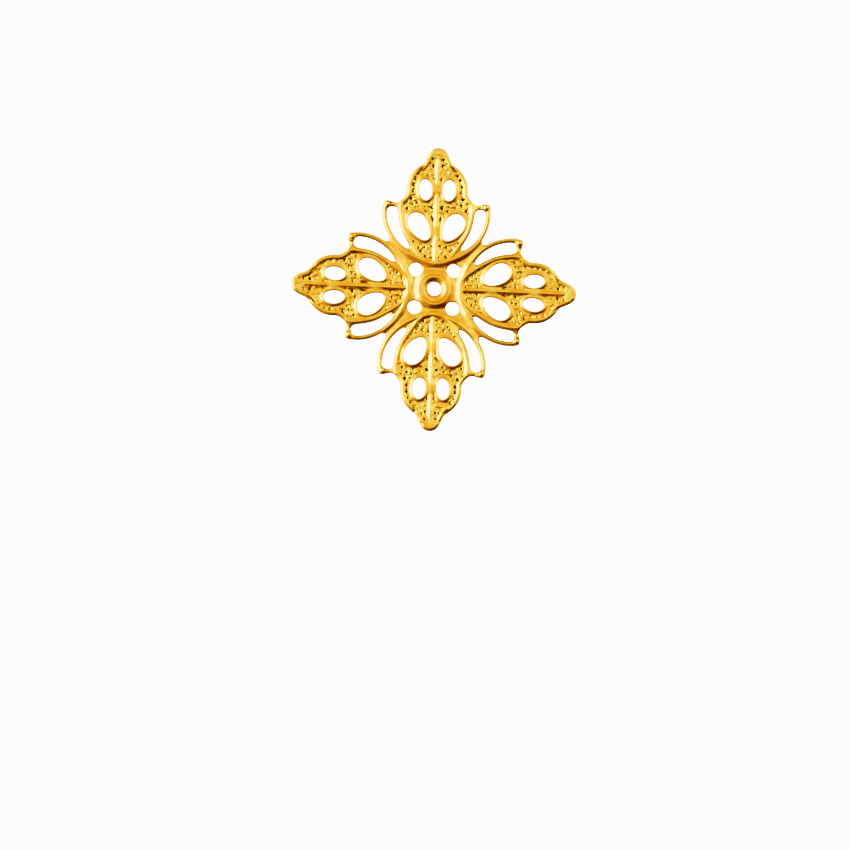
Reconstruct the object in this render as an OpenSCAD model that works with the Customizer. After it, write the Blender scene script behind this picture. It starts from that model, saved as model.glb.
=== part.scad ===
// Pierced square stamping: one die-struck brass sheet, 35 mm from petal tip to petal tip.
// Four leaf-shaped petals stand on the axes round a raised eyelet with four small holes.
// The back is flat at z = 0, the raised work faces +Z, and the origin is the eyelet's centre.

/* [Sheet] */
// Thickness of the flat floor between the raised lines
sheet_t = 0.4; // [0.35:0.01:0.45]
// Height of the lines' rolled edge above the surface that the sheet lies on
edge_lift = 0.08; // [0.06:0.01:0.12]
// Radius left in the corners of the web
web_fillet = 0.12; // [0.08:0.01:0.2]

/* [Petals] */
// Width of the raised line round a petal
border_w = 0.5; // [0.4:0.01:0.6]
// Top of that line
border_z = 0.7; // [0.65:0.01:0.75]
// Width of the raised line down the middle
midrib_w = 0.6; // [0.45:0.01:0.7]
// Top of the middle line
midrib_z = 0.78; // [0.76:0.01:0.85]
// Top of the smooth lobe at the tip
lobe_z = 0.62; // [0.55:0.01:0.64]

/* [Oval openings] */
// Half the length of the opening nearer the tip
small_half_length = 1.31; // [1.2:0.01:1.35]
// Half the width of that opening
small_half_width = 0.82; // [0.75:0.01:0.86]
// Half the length of the opening nearer the eyelet
large_half_length = 1.87; // [1.8:0.01:1.92]
// Half the width of that opening
large_half_width = 1.18; // [1.1:0.01:1.2]
// Egg shape of the large opening: 0 is an ellipse, more is wider towards the tip
large_egg = 0.17; // [0.1:0.01:0.2]
// Lean of the small opening's long axis from the petal's cross line, in degrees
small_lean = 86; // [84:1:90]
// Lean of the large opening's long axis from the petal's cross line, in degrees
large_lean = 58; // [57:1:60]
// Width of the raised rim round an opening
rim_w = 0.36; // [0.3:0.01:0.42]
// Top of that rim
rim_z = 0.66; // [0.6:0.01:0.68]

/* [Eyelet and small holes] */
// Radius of the hole through the eyelet
eyelet_r = 0.88; // [0.8:0.01:0.95]
// Radius of each of the four small holes
hole_r = 0.86; // [0.75:0.01:0.88]
// Radius of the circle that the small holes' centres lie on
hole_circle_r = 3.34; // [3.28:0.01:3.4]
// Top of the raised eyelet
eyelet_z = 1.15; // [1.1:0.01:1.3]

/* [Hidden] */
gold = [0.94, 0.72, 0.2];
petal_count = 4;
turn = 360 / petal_count;

// Columns: x across the petal, y outward from the centre. From the tip down one side to the foot.
petal_edge = [
    [0.00, 17.70],
    [0.62, 17.55],
    [1.12, 17.02],
    [1.44, 16.34],
    [1.78, 15.70],
    [2.40, 15.22],
    [2.96, 14.70],
    [3.40, 14.08],
    [3.68, 13.36],
    [3.79, 12.60],
    [3.82, 11.90],
    [4.16, 11.28],
    [4.62, 10.80],
    [4.78, 10.10],
    [4.72, 9.20],
    [4.54, 8.20],
    [4.22, 7.10],
    [3.70, 6.10],
    [3.16, 5.25],
    [2.58, 4.40],
    [2.00, 3.66],
    [1.15, 3.10],
    [0.00, 2.92]
];

// Columns: x, y, width, top. The free strand, from the petal's foot out to its corner and back.
strand = [
    [1.90, 3.74, 0.50, 0.73],
    [2.55, 3.98, 0.52, 0.73],
    [3.20, 4.28, 0.54, 0.72],
    [4.10, 4.90, 0.54, 0.70],
    [4.84, 5.55, 0.56, 0.69],
    [5.41, 6.24, 0.58, 0.68],
    [5.84, 7.00, 0.55, 0.68],
    [6.15, 7.75, 0.54, 0.68],
    [6.37, 8.60, 0.53, 0.68],
    [6.46, 9.40, 0.55, 0.69],
    [6.39, 10.00, 0.64, 0.73],
    [6.16, 10.42, 0.86, 0.78],
    [5.78, 10.50, 0.70, 0.68],
    [5.25, 10.39, 0.49, 0.56],
    [4.70, 10.38, 0.54, 0.56]
];

// The web fills the strand's first rows, and ends on the diagonal between two petals.
web_rows = 6;
web_shoulder = [5.66, 6.62];
web_end = [5.84, 5.84];

// Columns: x, y. The corner of web between a petal's foot and its strand.
crotch = [
    [1.90, 3.70],
    [3.20, 5.30],
    [3.46, 5.12],
    [3.90, 4.95],
    [3.20, 4.28]
];

small_oval = [small_half_length, small_half_width];
large_oval = [large_half_length, large_half_width];
small_centre = [1.47, 12.41];
large_centre = [2.07, 7.75];
small_egg = 0;
rim_steps = 20;      // points round each oval rim
curve_steps = 2;     // points between two rows of a table
crown = 0.42;        // share of a line's width that its flat top takes
foot_step = 0.02;    // keeps the feet of lines that cross at different heights
lobe_start = 16.35;  // where the smooth tip begins
lobe_square = 2;     // half width of the piece cut out of the petal for the tip
midrib_start = 3.0;
midrib_end = 17.3;
hub_r = 4;           // disc of sheet under the eyelet and the petals' feet
eyelet_foot_r = 2.3;
eyelet_well_r = 2.05;
eyelet_foot_z = 0.04;
eyelet_lip_z = eyelet_z * 0.6;
round_fn = 48;

// Columns: radius, height. The eyelet's wall from its foot over the ring, down to the lip and back.
eyelet_wall = [
    [eyelet_foot_r, eyelet_foot_z],
    [eyelet_foot_r, sheet_t + foot_step],
    [eyelet_foot_r - 0.3, eyelet_z * 0.62],
    [1.76, eyelet_z - 0.08],
    [1.60, eyelet_z],
    [1.48, eyelet_z - 0.06],
    [1.22, eyelet_z * 0.72],
    [eyelet_r, eyelet_lip_z],
    [eyelet_r, eyelet_lip_z - sheet_t],
    [1.30, eyelet_lip_z - 0.2],
    [1.56, eyelet_z - 0.42],
    [eyelet_well_r - 0.15, eyelet_foot_z]
];

function along(p0, p1, p2, p3, t) = 0.5 * (
    2 * p1 + (p2 - p0) * t
    + (2 * p0 - 5 * p1 + 4 * p2 - p3) * t * t
    + (3 * p1 - p0 - 3 * p2 + p3) * t * t * t);

// A smooth curve through every row of a table, open or closed.
function smooth_loop(rows, n) = let (m = len(rows)) [
    for (i = [0:m - 1], k = [0:n - 1])
        along(rows[(i + m - 1) % m], rows[i], rows[(i + 1) % m], rows[(i + 2) % m], k / n)
];
function smooth_line(rows, n) = let (last = len(rows) - 1) concat([
    for (i = [0:last - 1], k = [0:n - 1])
        along(rows[max(i - 1, 0)], rows[i], rows[i + 1], rows[min(i + 2, last)], k / n)
], [rows[last]]);

function mirrored(rows) = [for (i = [len(rows) - 2:-1:1]) [-rows[i][0], rows[i][1]]];

// The direction square to a path at its point i.
function side(path, i, closed) = let (
    m = len(path),
    a = path[closed ? (i + m - 1) % m : max(i - 1, 0)],
    b = path[closed ? (i + 1) % m : min(i + 1, m - 1)],
    d = [b[0] - a[0], b[1] - a[1]]
) [-d[1], d[0]] / norm(d);

// A closed path moved inward by d, where the path runs clockwise.
function inset(path, d) = [
    for (i = [0:len(path) - 1]) let (s = side(path, i, true))
        [path[i][0] - s[0] * d, path[i][1] - s[1] * d]
];

// An egg-shaped oval with the given half length and half width, grown outward by grow.
function oval(centre, half, lean, egg, grow, n) = [
    for (i = [0:n - 1]) let (
        a = 360 * i / n,
        u = (half[0] + grow) * cos(a),
        v = (half[1] + grow) * sin(a) * (1 + egg * cos(a))
    ) [centre[0] + u * cos(lean) - v * sin(lean), centre[1] + u * sin(lean) + v * cos(lean)]
];

function petal_outline() = smooth_loop(concat(petal_edge, mirrored(petal_edge)), curve_steps);
function petal_crest() = inset(petal_outline(), border_w / 2);

// A raised line with sloping sides and a flat crown. Rows: x, y, width, top.
module raised_line(rows, foot, closed) {
    m = len(rows);
    points = [
        for (i = [0:m - 1]) let (
            r = rows[i],
            s = side(rows, i, closed),
            w = r[2] / 2,
            c = w * crown
        ) each [
            [r[0] - s[0] * w, r[1] - s[1] * w, foot],
            [r[0] - s[0] * c, r[1] - s[1] * c, r[3]],
            [r[0] + s[0] * c, r[1] + s[1] * c, r[3]],
            [r[0] + s[0] * w, r[1] + s[1] * w, foot]
        ]
    ];
    walls = [
        for (i = [0:m - (closed ? 1 : 2)], k = [0:3]) let (
            a = 4 * i + k,
            b = 4 * i + (k + 1) % 4,
            c = 4 * ((i + 1) % m) + (k + 1) % 4,
            d = 4 * ((i + 1) % m) + k
        ) each [[a, b, c], [a, c, d]]
    ];
    last = 4 * (m - 1);
    ends = closed ? [] : [[0, 3, 2], [0, 2, 1], [last, last + 1, last + 2], [last, last + 2, last + 3]];
    polyhedron(points = points, faces = concat(walls, ends));
}

module border() {
    raised_line([for (p = petal_crest()) [p[0], p[1], border_w, border_z]], edge_lift, true);
}

module rim(centre, half, lean, egg) {
    middle = oval(centre, half, lean, egg, rim_w / 2, rim_steps);
    raised_line([for (p = middle) [p[0], p[1], rim_w, rim_z]], edge_lift + foot_step, true);
}

module midrib() {
    raised_line([
        [0, midrib_start, midrib_w, midrib_z],
        [0, midrib_end, midrib_w, midrib_z]
    ], sheet_t / 2, false);
}

module free_strand() {
    raised_line(smooth_line(strand, curve_steps), edge_lift - foot_step, false);
}

module lobe() {
    translate([0, 0, sheet_t / 2])
        linear_extrude(lobe_z - sheet_t / 2)
            intersection() {
                polygon(petal_crest());
                translate([-lobe_square, lobe_start])
                    square(2 * lobe_square);
            }
}

module petal_relief() {
    border();
    midrib();
    lobe();
    for (m = [0, 1])
        mirror([m, 0]) {
            rim(small_centre, small_oval, small_lean, small_egg);
            rim(large_centre, large_oval, large_lean, large_egg);
            free_strand();
        }
}

module ovals() {
    for (m = [0, 1])
        mirror([m, 0]) {
            polygon(oval(small_centre, small_oval, small_lean, small_egg, rim_w / 2, rim_steps));
            polygon(oval(large_centre, large_oval, large_lean, large_egg, rim_w / 2, rim_steps));
        }
}

// The flat web beside one petal: from its foot out along the strand to the diagonal.
module web() {
    strand_line = [for (i = [0:web_rows - 1]) [strand[i][0], strand[i][1]]];
    for (m = [0, 1])
        mirror([m, 0]) {
            polygon(concat([[0, 0]], strand_line, [web_shoulder, web_end]));
            polygon(crotch);
        }
}

module sheet() {
    linear_extrude(sheet_t)
        offset(r = -web_fillet)
            offset(delta = web_fillet)
                difference() {
                    union() {
                        circle(hub_r, $fn = round_fn);
                        for (i = [0:petal_count - 1])
                            rotate(turn * i) {
                                polygon(petal_crest());
                                web();
                            }
                    }
                    for (i = [0:petal_count - 1])
                        rotate(turn * i)
                            ovals();
                    circle(eyelet_well_r, $fn = round_fn);
                }
}

// A turned shell: the wall climbs to a ring and falls again to the hole's lip.
module eyelet() {
    rotate_extrude($fn = round_fn)
        polygon(eyelet_wall);
}

module stamping() {
    color(gold)
        difference() {
            union() {
                sheet();
                for (i = [0:petal_count - 1])
                    rotate(turn * i)
                        petal_relief();
                eyelet();
            }
            for (i = [0:petal_count - 1])
                rotate(turn * (i + 0.5))
                    translate([hole_circle_r, 0, -sheet_t])
                        cylinder(r = hole_r, h = 4 * sheet_t, $fn = round_fn);
        }
}

stamping();
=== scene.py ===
# %% [markdown]
# # A filigree square stamping
#
# The real object is one piece of brass sheet, about 0.4 mm thick and 35 mm from tip to
# tip. A press pierced the openings and struck the leaf petals into it, and then it was
# plated with bright gold. Nothing on it moves, and nothing is soldered on.
#
# The lesson follows the same order: first the outline and the openings, then the relief,
# then the finish. The stamping's own tables are in millimetres, because that is how a die
# maker thinks about a piece this small. Its points become metres when the mesh is made.

import math
from collections import Counter

import bpy
import numpy as np
from mathutils import Matrix, Vector
from mathutils.geometry import delaunay_2d_cdt


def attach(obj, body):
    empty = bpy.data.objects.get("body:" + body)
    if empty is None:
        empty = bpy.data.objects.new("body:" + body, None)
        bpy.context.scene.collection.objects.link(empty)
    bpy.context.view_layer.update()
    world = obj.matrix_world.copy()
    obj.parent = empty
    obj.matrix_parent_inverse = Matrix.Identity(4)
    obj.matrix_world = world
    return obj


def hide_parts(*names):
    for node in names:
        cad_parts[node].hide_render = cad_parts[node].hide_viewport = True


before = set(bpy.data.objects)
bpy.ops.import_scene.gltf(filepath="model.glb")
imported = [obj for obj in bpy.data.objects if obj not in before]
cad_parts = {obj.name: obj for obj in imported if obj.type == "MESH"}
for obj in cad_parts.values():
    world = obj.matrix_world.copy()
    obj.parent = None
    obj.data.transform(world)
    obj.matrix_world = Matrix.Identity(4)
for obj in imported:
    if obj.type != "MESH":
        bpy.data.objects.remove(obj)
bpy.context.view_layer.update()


MM = 0.001
print("solids in the frame:", list(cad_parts))

# %% [markdown]
# ## The camera
#
# The photograph looks down on the stamping from about half a metre away, a little from
# the left and from the viewer's side. A camera is placed by three things: where it
# stands, what it aims at, and how far the picture is turned about that line. Writing
# those three down says more than the nine numbers of a matrix, so the matrix is worked
# out from them.

# %% Camera
# Places in millimetres.
CAMERA_STANDS = Vector((-29.12, -60.81, 465.1))
CAMERA_AIMS_AT = Vector((-0.55, -16.92, 0.0))
PICTURE_TURN = math.radians(1.89)
PHOTO_PIXELS = 850
FOCAL_PIXELS = 3785
SENSOR_MM = 36.0
NEAREST_SEEN = 0.01


def link(name, data):
    """A new object that holds this data, in the scene."""
    made = bpy.data.objects.new(name, data)
    bpy.context.collection.objects.link(made)
    return made


forward = (CAMERA_AIMS_AT - CAMERA_STANDS).normalized()
picture_up = Vector((-math.sin(PICTURE_TURN), math.cos(PICTURE_TURN), 0.0))
right = forward.cross(picture_up).normalized()
up = right.cross(forward)

camera_data = bpy.data.cameras.new("camera")
camera_data.sensor_width = SENSOR_MM
camera_data.lens = SENSOR_MM * FOCAL_PIXELS / PHOTO_PIXELS
camera_data.clip_start = NEAREST_SEEN
camera_data.dof.use_dof = False
camera = link("camera", camera_data)
camera.matrix_world = (
    Matrix.Translation(CAMERA_STANDS * MM)
    @ Matrix((right, up, -forward)).transposed().to_4x4()
)
bpy.context.scene.camera = camera
print("lens in millimetres:", round(camera_data.lens, 1))

# %% [markdown]
# ## Floor and light
#
# Bright plating has almost no colour of its own. What the eye reads as gold is the room,
# seen in thousands of tiny curved mirrors and tinted by the metal. So the light is built
# as a room: a big soft window on the left, a weak one on the right, a bright sky above,
# and a dim side towards the viewer. Slopes that face left then turn cream, flat places
# turn amber, and slopes that face the viewer turn dark brown.
#
# The floor is white paper, and only the camera sees it glow. To the metal it is a satin
# sheet that mirrors the room, because a glowing floor would light the dark slopes, and
# the relief is read from them.

# %% Floor
FLOOR_SIZE = 2.0
FLOOR_DROP = 0.01 * MM

half = FLOOR_SIZE / 2
floor_corners = [(-half, -half, 0), (half, -half, 0), (half, half, 0), (-half, half, 0)]
floor_mesh = bpy.data.meshes.new("floor")
floor_mesh.from_pydata(floor_corners, [], [(0, 1, 2, 3)])
floor = link("floor", floor_mesh)
floor.location.z = -FLOOR_DROP
print("floor is", FLOOR_SIZE, "m square")

# %% Paper
PAPER_GLOW = 2.6
PAPER_COLOR = (0.05, 0.05, 0.05, 1)
PAPER_ROUGH = 0.9
MIRROR_COLOR = (0.85, 0.80, 0.75, 1)
MIRROR_ROUGH = 0.35


def dial(node, settings):
    """The same node, with some inputs set by name."""
    for name, value in settings.items():
        node.inputs[name].default_value = value
    return node


paper = bpy.data.materials.new("white paper")
paper.use_nodes = True
paper_nodes = paper.node_tree.nodes
paper_links = paper.node_tree.links
lit = dial(paper_nodes["Principled BSDF"], {
    "Base Color": PAPER_COLOR,
    "Roughness": PAPER_ROUGH,
    "Emission Color": (1, 1, 1, 1),
    "Emission Strength": PAPER_GLOW,
})
satin = {"Color": MIRROR_COLOR, "Roughness": MIRROR_ROUGH}
mirrored = dial(paper_nodes.new("ShaderNodeBsdfGlossy"), satin)
path = paper_nodes.new("ShaderNodeLightPath")
choice = paper_nodes.new("ShaderNodeMixShader")
paper_links.new(path.outputs["Is Camera Ray"], choice.inputs[0])
paper_links.new(mirrored.outputs[0], choice.inputs[1])
paper_links.new(lit.outputs[0], choice.inputs[2])
paper_links.new(choice.outputs[0], paper_nodes["Material Output"].inputs["Surface"])
floor.data.materials.append(paper)
print("paper glows", PAPER_GLOW, "to the camera")

# %% [markdown]
# The windows are soft rectangular lamps that the camera can't see. Their light is a
# little green, because the metal multiplies it by its own orange, and only the two
# together give the cream of the photograph's bright lines.

# %% Windows
# Columns: name, place in metres, width and height in metres, colour, power in watts.
WINDOWS = [
    ("window_left", (-0.63, 0.10, 0.30), (0.70, 0.44), (0.84, 1.10, 0.68), 11.0),
    ("window_right", (0.54, 0.28, 0.34), (0.55, 0.36), (0.80, 1.12, 0.60), 0.6),
]


def window(name, place, size, color, power):
    """A soft rectangular light that faces the middle of the object."""
    data = bpy.data.lights.new(name, "AREA")
    data.shape = "RECTANGLE"
    data.size, data.size_y = size
    data.color = color
    data.energy = power
    lamp = link(name, data)
    lamp.location = place
    lamp.rotation_euler = (-Vector(place)).to_track_quat("-Z", "Y").to_euler()
    lamp.visible_camera = False


for row in WINDOWS:
    window(*row)
print(len(WINDOWS), "windows")

# %% [markdown]
# The sky is bright nearly everywhere, with four soft patches laid over it. It is golden
# low on the far side, warm and then nearly black on the viewer's side, and it glows
# round the left window. The dot product of a direction with the middle of a patch says
# how much it points there, and a smooth step turns that into a mix of two colours. The
# camera itself is shown plain white, so the background stays pale from every side.

# %% Sky helpers
# A mix node's sockets share their names, so the ones for colours are found by number.
MIX_FIRST, MIX_SECOND, MIX_RESULT = 6, 7, 2

sky = bpy.data.worlds.new("sky")
sky.use_nodes = True
sky_nodes = sky.node_tree.nodes
sky_links = sky.node_tree.links
direction = sky_nodes.new("ShaderNodeTexCoord")
ray = sky_nodes.new("ShaderNodeLightPath")


def mixed(tree, factor, first, second):
    """A colour between two others, each of them fixed or made by another node."""
    made = tree.nodes.new("ShaderNodeMix")
    made.data_type = "RGBA"
    tree.links.new(factor, made.inputs["Factor"])
    for number, color in ((MIX_FIRST, first), (MIX_SECOND, second)):
        if isinstance(color, tuple):
            made.inputs[number].default_value = color
        else:
            tree.links.new(color, made.inputs[number])
    return made.outputs[MIX_RESULT]


def towards(side, start, full):
    """How far a direction points to one side, as a smooth step from 0 to 1."""
    dot = sky_nodes.new("ShaderNodeVectorMath")
    dot.operation = "DOT_PRODUCT"
    dot.inputs[1].default_value = side
    sky_links.new(direction.outputs["Generated"], dot.inputs[0])
    step = dial(sky_nodes.new("ShaderNodeMapRange"), {"From Min": start, "From Max": full})
    step.interpolation_type = "SMOOTHSTEP"
    sky_links.new(dot.outputs["Value"], step.inputs["Value"])
    return step.outputs["Result"]


print("sky helpers are ready")

# %% Sky
SKY_BRIGHT = (0.97, 1.03, 0.95, 1)
SKY_SEEN = (PAPER_GLOW, PAPER_GLOW, PAPER_GLOW, 1)

# Columns: what it is, direction of its middle, dot product where it starts and where it
# is full, colour. Each patch lies over the ones before it.
SKY_PATCHES = [
    ("golden far side", (0.0, 0.94, 0.34), 0.66, 0.95, (0.97, 0.84, 0.42, 1)),
    ("warm viewer's side", (0.25, -0.96, 0.1), 0.0, 0.72, (0.60, 0.33, 0.22, 1)),
    ("dim viewer's side", (0.44, -0.87, 0.12), 0.60, 0.89, (0.08, 0.007, 0.002, 1)),
    ("glowing left side", (-0.89, 0.17, 0.42), 0.60, 0.97, (2.2, 2.8, 1.8, 1)),
]

room = SKY_BRIGHT
for name, middle, start, full, color in SKY_PATCHES:
    room = mixed(sky.node_tree, towards(middle, start, full), room, color)
    print("sky:", name)
room = mixed(sky.node_tree, ray.outputs["Is Camera Ray"], room, SKY_SEEN)
sky_links.new(room, sky_nodes["Background"].inputs["Color"])
bpy.context.scene.world = sky
bpy.context.scene.view_settings.view_transform = "Khronos PBR Neutral"

# %% [markdown]
# ## Curves
#
# Everything on the stamping follows a few smooth curves. A table holds only the points
# that a curve needs, and `smooth` draws a Catmull-Rom curve through every row, which is
# the kind that passes through its points instead of beside them. `even` then spaces the
# points evenly, because even points make even triangles.

# %% Smooth and even curves
CURVE_STEPS = 12


def smooth(rows, closed=False):
    """A smooth curve through every row of a table."""
    rows = np.asarray(rows, float)
    if closed:
        p = np.vstack([rows[-1:], rows, rows[:2]])
    else:
        p = np.vstack([rows[:1], rows, rows[-1:]])
    t = np.linspace(0, 1, CURVE_STEPS, endpoint=False)[:, None]
    pieces = []
    for a, b, c, d in zip(p, p[1:], p[2:], p[3:]):
        bend = (2 * a - 5 * b + 4 * c - d) * t**2 + (3 * b - a - 3 * c + d) * t**3
        pieces.append(0.5 * (2 * b + (c - a) * t + bend))
    curve = np.vstack(pieces)
    return curve if closed else np.vstack([curve, rows[-1:]])


def even(path, step, closed=False):
    """The same path with its points evenly spaced, about one step apart."""
    if closed:
        path = np.vstack([path, path[:1]])
    steps = np.linalg.norm(np.diff(path[:, :2], axis=0), axis=1)
    run = np.concatenate([[0], np.cumsum(steps)])
    places = np.linspace(0, run[-1], max(2, round(run[-1] / step)) + 1)
    columns = [np.interp(places, run, column) for column in path.T]
    made = np.column_stack(columns)
    return made[:-1] if closed else made


def left_of(path, closed=False):
    """For each point of a path, the unit direction square to it on its left."""
    xy = path[:, :2]
    if closed:
        along = np.roll(xy, -1, 0) - np.roll(xy, 1, 0)
    else:
        along = np.gradient(xy, axis=0)
    along = along / np.linalg.norm(along, axis=1)[:, None]
    return np.column_stack([-along[:, 1], along[:, 0]])


print("curve points between two rows of a table:", CURVE_STEPS)

# %% Arcs and ovals
OVAL_POINTS = 240


def arc(centre, radius, start, end, step):
    """Points on an arc, from one angle in degrees to another."""
    count = max(2, round(math.radians(abs(end - start)) * radius / step))
    a = np.radians(np.linspace(start, end, count + 1))
    return np.array(centre) + radius * np.column_stack([np.cos(a), np.sin(a)])


def oval(centre, half_length, half_width, lean, egg):
    """An oval that leans by an angle in degrees, wider towards one end when egg is above 0."""
    a = np.linspace(0, 2 * math.pi, OVAL_POINTS, endpoint=False)
    u = half_length * np.cos(a)
    v = half_width * np.sin(a) * (1 + egg * np.cos(a))
    c, s = math.cos(math.radians(lean)), math.sin(math.radians(lean))
    return np.column_stack([centre[0] + u * c - v * s, centre[1] + u * s + v * c])


print("an oval has", OVAL_POINTS, "points")

# %% [markdown]
# ## The blank
#
# The pattern is one eighth of the stamping, repeated: a half petal from its midrib to
# the diagonal, mirrored to make a petal and turned four times. So only the eighth is
# drawn. Its edge is walked with the air always on the left hand: down the outside from
# the petal's tip to the notch between two petals, round half of a small hole, and round
# an eighth of the hole in the eyelet. The three openings inside it are closed loops.
#
# A press drags the sheet down a little where it shears it, so each cut edge is rounded.
# The petal's own edge is rounded most, the strands less, and the round and oval holes
# hardly at all.

# %% Outside of one eighth
# Columns: x across the petal, y outward from the centre, width of the rounding at the
# edge. From the tip to the notch.
OUTER_EDGE = [
    (0.00, 17.70, 0.30),
    (0.62, 17.55, 0.30),
    (1.12, 17.02, 0.30),
    (1.44, 16.34, 0.30),
    (1.78, 15.70, 0.30),
    (2.40, 15.22, 0.30),
    (2.96, 14.70, 0.30),
    (3.40, 14.08, 0.30),
    (3.68, 13.36, 0.30),
    (3.79, 12.60, 0.30),
    (3.82, 11.90, 0.26),
    (4.14, 11.30, 0.22),
    (4.58, 10.84, 0.22),
    (5.11, 10.64, 0.22),
    (5.64, 10.78, 0.22),
    (6.14, 10.87, 0.22),
    (6.52, 10.72, 0.22),
    (6.67, 10.34, 0.22),
    (6.72, 9.60, 0.22),
    (6.68, 8.80, 0.22),
    (6.48, 7.90, 0.22),
    (6.15, 7.05, 0.22),
    (5.83, 6.40, 0.22),
    (5.76, 6.04, 0.22),
    (5.83, 5.83, 0.22),
]
EDGE_STEP = 0.11

diagonal = np.array([1.0, 1.0]) / math.sqrt(2)


def chain(points, rounding, closed=False, ends=None):
    """A stretch of cut edge: its points, the way out into the air, and its rounding.

    The two ends of an open stretch lie on seams, where mirrored copies meet, so the way
    out is given there and runs along the seam.
    """
    air = left_of(points, closed)
    if ends is not None:
        air[0], air[-1] = ends
    return {"points": points, "air": air, "rounding": rounding, "closed": closed}


outer_path = even(smooth(OUTER_EDGE), EDGE_STEP)
outer_edge = chain(outer_path[:, :2], outer_path[:, 2:], ends=[(0, 1), diagonal])
print("outside of one eighth:", len(outer_path), "points")

# %% Round holes
EYELET_R = 0.88
HOLE_R = 0.86
HOLE_CIRCLE_R = 3.34
HOLE_ROUNDING = 0.085

hole_edge = chain(
    arc(HOLE_CIRCLE_R * diagonal, HOLE_R, 45, 225, EDGE_STEP),
    HOLE_ROUNDING,
    ends=[-diagonal, diagonal],
)
eyelet_edge = chain(
    arc((0, 0), EYELET_R, 45, 90, EDGE_STEP),
    HOLE_ROUNDING,
    ends=[-diagonal, (0, -1)],
)
print("small hole is", 2 * HOLE_R, "mm wide, the eyelet's", 2 * EYELET_R, "mm")

# %% Ovals and slot
# Columns: centre, half length, half width, lean in degrees, egg.
SMALL_OVAL = ((1.47, 12.41), 1.31, 0.82, 86, 0.0)
LARGE_OVAL = ((2.07, 7.75), 1.87, 1.18, 58, 0.17)

# Columns: x, y. Round the slot between the petal and its free strand, to the left first.
SLOT = [
    (5.35, 10.15),
    (4.95, 9.96),
    (4.77, 9.50),
    (4.68, 8.85),
    (4.53, 8.10),
    (4.31, 7.38),
    (4.01, 6.71),
    (3.64, 6.04),
    (3.30, 5.46),
    (3.25, 5.12),
    (3.46, 4.95),
    (3.98, 5.20),
    (4.59, 5.73),
    (5.09, 6.31),
    (5.50, 6.96),
    (5.84, 7.66),
    (6.06, 8.40),
    (6.18, 9.20),
    (6.15, 9.72),
    (5.84, 10.08),
]
SLOT_ROUNDING = 0.22

openings = [
    chain(even(path, EDGE_STEP, closed=True), rounding, closed=True)
    for path, rounding in (
        (oval(*SMALL_OVAL), HOLE_ROUNDING),
        (oval(*LARGE_OVAL), HOLE_ROUNDING),
        (smooth(SLOT, closed=True), SLOT_ROUNDING),
    )
]
chains = [outer_edge, hole_edge, eyelet_edge, *openings]
print("points on the cut edges of one eighth:", sum(len(c["points"]) for c in chains))

# %% [markdown]
# ## The relief
#
# The height of the face is worked out for any point from its distance to a few curves.
# So the first helpers measure distances and tell the inside of a loop from its outside.
# Where two lines meet, or a line meets the ground, the higher one wins. A plain maximum
# would leave a crease there, so `join` takes a smooth maximum, which leaves the small
# fillet that a real die leaves.

# %% Distance to a curve
POINTS_AT_ONCE = 2000


def nearest(points, path, closed=False):
    """How far each point is from a path, and the fractional row of the nearest place."""
    a = path[:, :2]
    b = np.roll(a, -1, 0)
    if not closed:
        a, b = a[:-1], b[:-1]
    span = b - a
    length2 = (span**2).sum(1)
    distance = np.empty(len(points))
    row = np.empty(len(points))
    for start in range(0, len(points), POINTS_AT_ONCE):
        some = slice(start, start + POINTS_AT_ONCE)
        p = points[some]
        off = p[:, None, :] - a[None]
        t = np.clip((off * span[None]).sum(2) / length2, 0, 1)
        gap = np.linalg.norm(off - t[:, :, None] * span[None], axis=2)
        best = gap.argmin(1)
        here = np.arange(len(p))
        distance[some] = gap[here, best]
        row[some] = best + t[here, best]
    return distance, row


def inside(points, loops):
    """Which points lie inside the loops, where a loop in a loop is a hole."""
    x, y = points.T
    odd = np.zeros(len(points), bool)
    for loop in loops:
        for (x0, y0), (x1, y1) in zip(loop, np.roll(loop, -1, 0)):
            crossed = (y0 > y) != (y1 > y)
            if crossed.any():
                at = x0 + (y[crossed] - y0) * (x1 - x0) / (y1 - y0)
                odd[crossed] ^= x[crossed] < at
    return odd


def depth_inside(points, loop):
    """Distance from a closed loop, counted positive inside it and negative outside."""
    gap, _ = nearest(points, loop, closed=True)
    return np.where(inside(points, [loop]), gap, -gap)


beside_slot, _ = nearest(openings[-1]["points"], outer_path)
print("least metal outside the slot:", round(beside_slot.min(), 2), "mm")

# %% Smooth steps and maxima
FILLET = 0.03
SMALL_FILLET = 0.02


def join(a, b, fillet=FILLET):
    """The higher of two surfaces, with a small fillet where they cross."""
    return 0.5 * (a + b + np.sqrt((a - b) ** 2 + 4 * fillet**2))


def ramp(value, low, high):
    """A smooth step from 0 to 1 between two values."""
    t = np.clip((value - low) / (high - low), 0, 1)
    return t * t * (3 - 2 * t)


print("fillets of", FILLET, "and", SMALL_FILLET, "mm")

# %% [markdown]
# The raised lines are the border round each petal, the free strands beside it, the rims
# of the four ovals and the midrib. The border's crest is the petal's own edge moved in,
# and it carries on under the bridge to the strand and round the petal's foot, where
# there is no cut edge. The strand changes in width and height along its way, so its
# table has columns for both.

# %% Border of the petal
# Columns: x, y. The petal's own edge where the web hides it, from the bridge to the foot.
HIDDEN_EDGE = [
    (4.62, 10.80),
    (4.78, 10.10),
    (4.72, 9.20),
    (4.54, 8.20),
    (4.22, 7.10),
    (3.70, 6.10),
    (3.16, 5.25),
    (2.58, 4.40),
    (2.00, 3.66),
    (1.15, 3.10),
    (0.00, 2.92),
]

# Rows of OUTER_EDGE that belong to the petal, and how far inside it the crest runs.
PETAL_ROWS_SHOWN = 12
CREST_IN = 0.34
LINE_STEP = 0.06

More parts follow.
